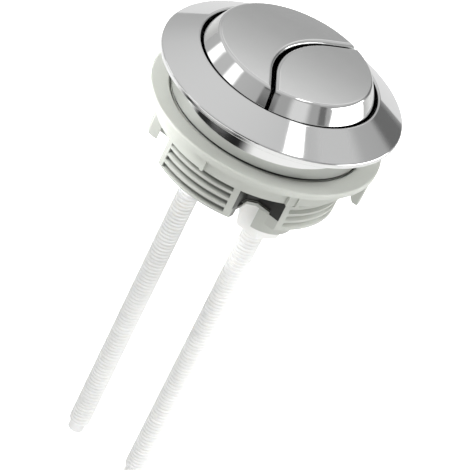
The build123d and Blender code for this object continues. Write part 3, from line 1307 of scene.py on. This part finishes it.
@dataclass(frozen=True)
class Card:
    """A studio card that faces the part: a softbox where it glows, or else a black flag for the mirrors.

    Angles are in degrees as seen from the part, and wide and tall are the angles that the card fills.
    """

    name: str
    bearing: float
    height: float
    wide: float
    tall: float
    glow: float = 0.0
    distance: float = 1.2
    fade: float = 0.5
    use: Use = Use.BOTH

    def place(self) -> Matrix:
        """Where a card of unit size stands, facing the part and grown to its angles.

        Returns:
            The card's place, turn and size.
        """
        bearing, height = math.radians(self.bearing), math.radians(self.height)
        out = Vector(
            (math.cos(height) * math.cos(bearing), math.cos(height) * math.sin(bearing), math.sin(height))
        )
        turn = out.to_track_quat("Z", "Y").to_matrix().to_4x4()
        spans = [2 * self.distance * math.tan(math.radians(angle) / 2) for angle in (self.wide, self.tall)]
        return Matrix.Translation(out * self.distance) @ turn @ Matrix.Diagonal((*spans, 1.0, 1.0))

    def build(self) -> bpy.types.Object:
        """Set the card up out of the camera's sight, and a black one out of all but the mirrors'.

        Returns:
            The card.
        """
        Bench.clear()
        bpy.ops.mesh.primitive_plane_add(size=1.0)
        card = bpy.context.object
        card.name = self.name
        card.data.transform(self.place())
        sheet = StudioSheet(f"{self.name}_sheet", CARD_BLACK, 1.0, self.glow, self.fade)
        card.data.materials.append(sheet.material())
        card.visible_camera = False
        card.visible_shadow = False
        card.visible_diffuse = self.glow > 0 and self.use is not Use.MIRRORS
        card.visible_glossy = self.use is not Use.FILL
        return card


@dataclass
class Studio:
    """The pale floor, the sky, the cards and the camera."""

    rod_drop: float = 0.013
    floor_size: float = 12.0
    floor_cells: int = 8
    sky_axis: Vector = Vector((-0.5, 0.0, 0.87))
    sky_steps: tuple[Point, ...] = ((0.2, 0.42), (0.4, 0.48), (0.6, 0.54), (0.8, 0.66), (1.0, 0.74))
    cutter_bearing: float = 230.0
    cutter_span: Point = (0.016, 0.12)
    cutter_width: float = 0.11
    cutter_z: float = -0.043
    camera_aim: Vector = Vector((0.0139, -0.0168, -0.0387))
    camera_distance: float = 0.705
    camera_azimuth: float = 20.0
    camera_height: float = 33.69
    camera_roll: float = 26.69
    lens: float = 191.5
    sensor_width: float = 36.0
    clip_start: float = 0.01
    cards: tuple[Card, ...] = (
        Card("ceiling_strip", 31.0, 73.7, 40.0, 9.0, 2.5, fade=0.25, use=Use.MIRRORS),
        Card("right_window", 33.0, 8.0, 60.0, 23.0, 4.5, fade=0.25, use=Use.MIRRORS),
        Card("left_window", 192.0, 7.0, 22.0, 16.0, 1.6),
        Card("left_front_window", 229.0, 18.0, 20.0, 18.0, 1.6),
        Card("back_wall", 110.0, 40.0, 60.0, 34.0, 0.42, 1.25, fade=0.3, use=Use.MIRRORS),
        Card("back_wash", 110.0, 40.0, 60.0, 26.0, 1.05, fade=1.0, use=Use.MIRRORS),
        Card("front_fill", -22.0, 12.0, 60.0, 50.0, 1.5, use=Use.FILL),
        Card("right_fill", 6.0, 57.0, 40.0, 14.0, 20.0, use=Use.FILL),
        Card("left_key", 252.0, 46.0, 16.0, 12.0, 11.0, use=Use.FILL),
        Card("left_fill", 215.0, 10.0, 40.0, 20.0, 28.0, 0.1, use=Use.FILL),
        Card("back_sheet", 108.0, -10.0, 62.0, 32.0, 0.8, 0.3, fade=0.06),
        Card("left_table_sheet", 168.0, -34.0, 76.0, 26.0, 1.1, 0.2, fade=0.3, use=Use.MIRRORS),
        Card("right_sky_glow", 54.0, 54.0, 44.0, 30.0, 0.62, fade=0.6, use=Use.MIRRORS),
        Card("right_front_glow", -34.0, 27.0, 30.0, 24.0, 0.78, fade=0.6, use=Use.MIRRORS),
        Card("back_right_flag", 82.0, 15.5, 30.0, 26.0, 0.15, fade=0.6),
        Card("camera_flag", -76.0, 10.0, 26.0, 44.0, fade=0.3),
        Card("low_front_flag", -108.0, -36.0, 76.0, 24.0, 0.0, 0.2),
        Card("right_flag", -3.5, 20.5, 12.0, 14.0, 0.15, fade=0.6),
        Card("rim_flag", -104.0, -14.0, 64.0, 5.0, fade=0.2),
    )

    def lay_floor(self) -> None:
        """Lay the floor that the camera sees, the table in the mirrors and the sheet that lights the rest.

        They lie below the lowest place that a rod's tip comes to.
        """
        floor_z = CAD_BOX[0].z - self.rod_drop
        for name, sheet in (("studio_floor", FLOOR), ("studio_table", TABLE), ("studio_bounce", BOUNCE)):
            Bench.clear()
            bpy.ops.mesh.primitive_grid_add(
                x_subdivisions=self.floor_cells, y_subdivisions=self.floor_cells, size=self.floor_size
            )
            floor = bpy.context.object
            floor.name = name
            floor.data.transform(Matrix.Translation((0, 0, floor_z)))
            floor.data.materials.append(sheet.material())
            floor.visible_camera = sheet is FLOOR
            floor.visible_diffuse = sheet is BOUNCE
            floor.visible_glossy = sheet is TABLE
            floor.visible_transmission = sheet is BOUNCE
            floor.visible_shadow = False

    def hang_cutter(self) -> None:
        """Hang a black sheet under the body's left side that keeps the left lights off the rods."""
        Bench.clear()
        bpy.ops.mesh.primitive_plane_add(size=1.0)
        cutter = bpy.context.object
        cutter.name = "rod_cutter"
        low, high = self.cutter_span
        turn = Matrix.Rotation(math.radians(self.cutter_bearing), 4, "Z")
        shift = Matrix.Translation(((low + high) / 2, 0.0, self.cutter_z))
        cutter.data.transform(turn @ shift @ Matrix.Diagonal((high - low, self.cutter_width, 1.0, 1.0)))
        cutter.data.materials.append(CUTTER.material())
        cutter.visible_camera = False
        cutter.visible_diffuse = False
        cutter.visible_glossy = False
        cutter.visible_transmission = False

    def light_room(self) -> None:
        """Set up the sky, brightest above and to the left, and the cards."""
        world = bpy.data.worlds.new("soft_studio")
        world.use_nodes = True
        tree = world.node_tree
        place = tree.nodes.new("ShaderNodeTexCoord")
        along = tree.nodes.new("ShaderNodeVectorMath")
        along.operation = "DOT_PRODUCT"
        along.inputs[1].default_value = self.sky_axis
        ramp = tree.nodes.new("ShaderNodeValToRGB")
        while len(ramp.color_ramp.elements) < len(self.sky_steps):
            ramp.color_ramp.elements.new(1.0)
        for element, (position, grey) in zip(ramp.color_ramp.elements, self.sky_steps):
            element.position = position
            element.color = (grey, grey, grey, 1.0)
        tree.links.new(place.outputs["Generated"], along.inputs[0])
        tree.links.new(along.outputs["Value"], ramp.inputs["Fac"])
        tree.links.new(ramp.outputs["Color"], tree.nodes["Background"].inputs["Color"])
        bpy.context.scene.world = world
        for card in self.cards:
            card.build()

    def set_camera(self) -> None:
        """Stand the camera where the photograph was taken, with its roll."""
        azimuth, height = math.radians(self.camera_azimuth), math.radians(self.camera_height)
        back = Vector(
            (math.sin(azimuth) * math.cos(height), -math.cos(azimuth) * math.cos(height), math.sin(height))
        )
        turn = (-back).to_track_quat("-Z", "Y").to_matrix().to_4x4()
        roll = Matrix.Rotation(math.radians(self.camera_roll), 4, "Z")
        Bench.clear()
        bpy.ops.object.camera_add()
        camera = bpy.context.object
        camera.data.lens = self.lens
        camera.data.sensor_width = self.sensor_width
        camera.data.clip_start = self.clip_start
        camera.matrix_world = Matrix.Translation(self.camera_aim + back * self.camera_distance) @ turn @ roll
        bpy.context.scene.camera = camera

    def build(self) -> None:
        """Set the studio up."""
        self.lay_floor()
        self.hang_cutter()
        self.light_room()
        self.set_camera()
        bpy.context.scene.view_settings.view_transform = "Standard"


def main() -> None:
    """Build every piece on its body, then the studio round them."""
    logging.basicConfig(level=logging.INFO, format="%(name)s %(message)s")
    Bezel().build()
    full_button = Button(Side.FULL, rod_x=-11.0, pole_x=-15.0, lug_angles=(110.0, 180.0, 250.0))
    full_button.build(Body.FULL_FLUSH)
    half_button = Button(Side.HALF, rod_x=12.4, pole_x=12.0, lug_angles=(-45.0, 0.0, 45.0))
    half_button.build(Body.HALF_FLUSH)
    MouldedPiece("threaded_body", BODY_PLASTIC, Slot.BODY_PLASTIC, Body.HOUSING).build()
    MouldedPiece("ring_nut", NUT_PLASTIC, Slot.NUT_PLASTIC, Body.NUT, edge_round=0.2).build()
    for flush, body, rod_body in (
        ("full_flush", Body.FULL_FLUSH, Body.FULL_ROD),
        ("half_flush", Body.HALF_FLUSH, Body.HALF_ROD),
    ):
        MouldedPiece(f"{flush}_plunger", STEM_NYLON, Slot.WHITE_NYLON, body, edge_round=0.25).build()
        PushRod(flush, rod_body).build()
        ReturnSpring(flush).build()
    Studio().build()


if __name__ == "__main__":
    main()
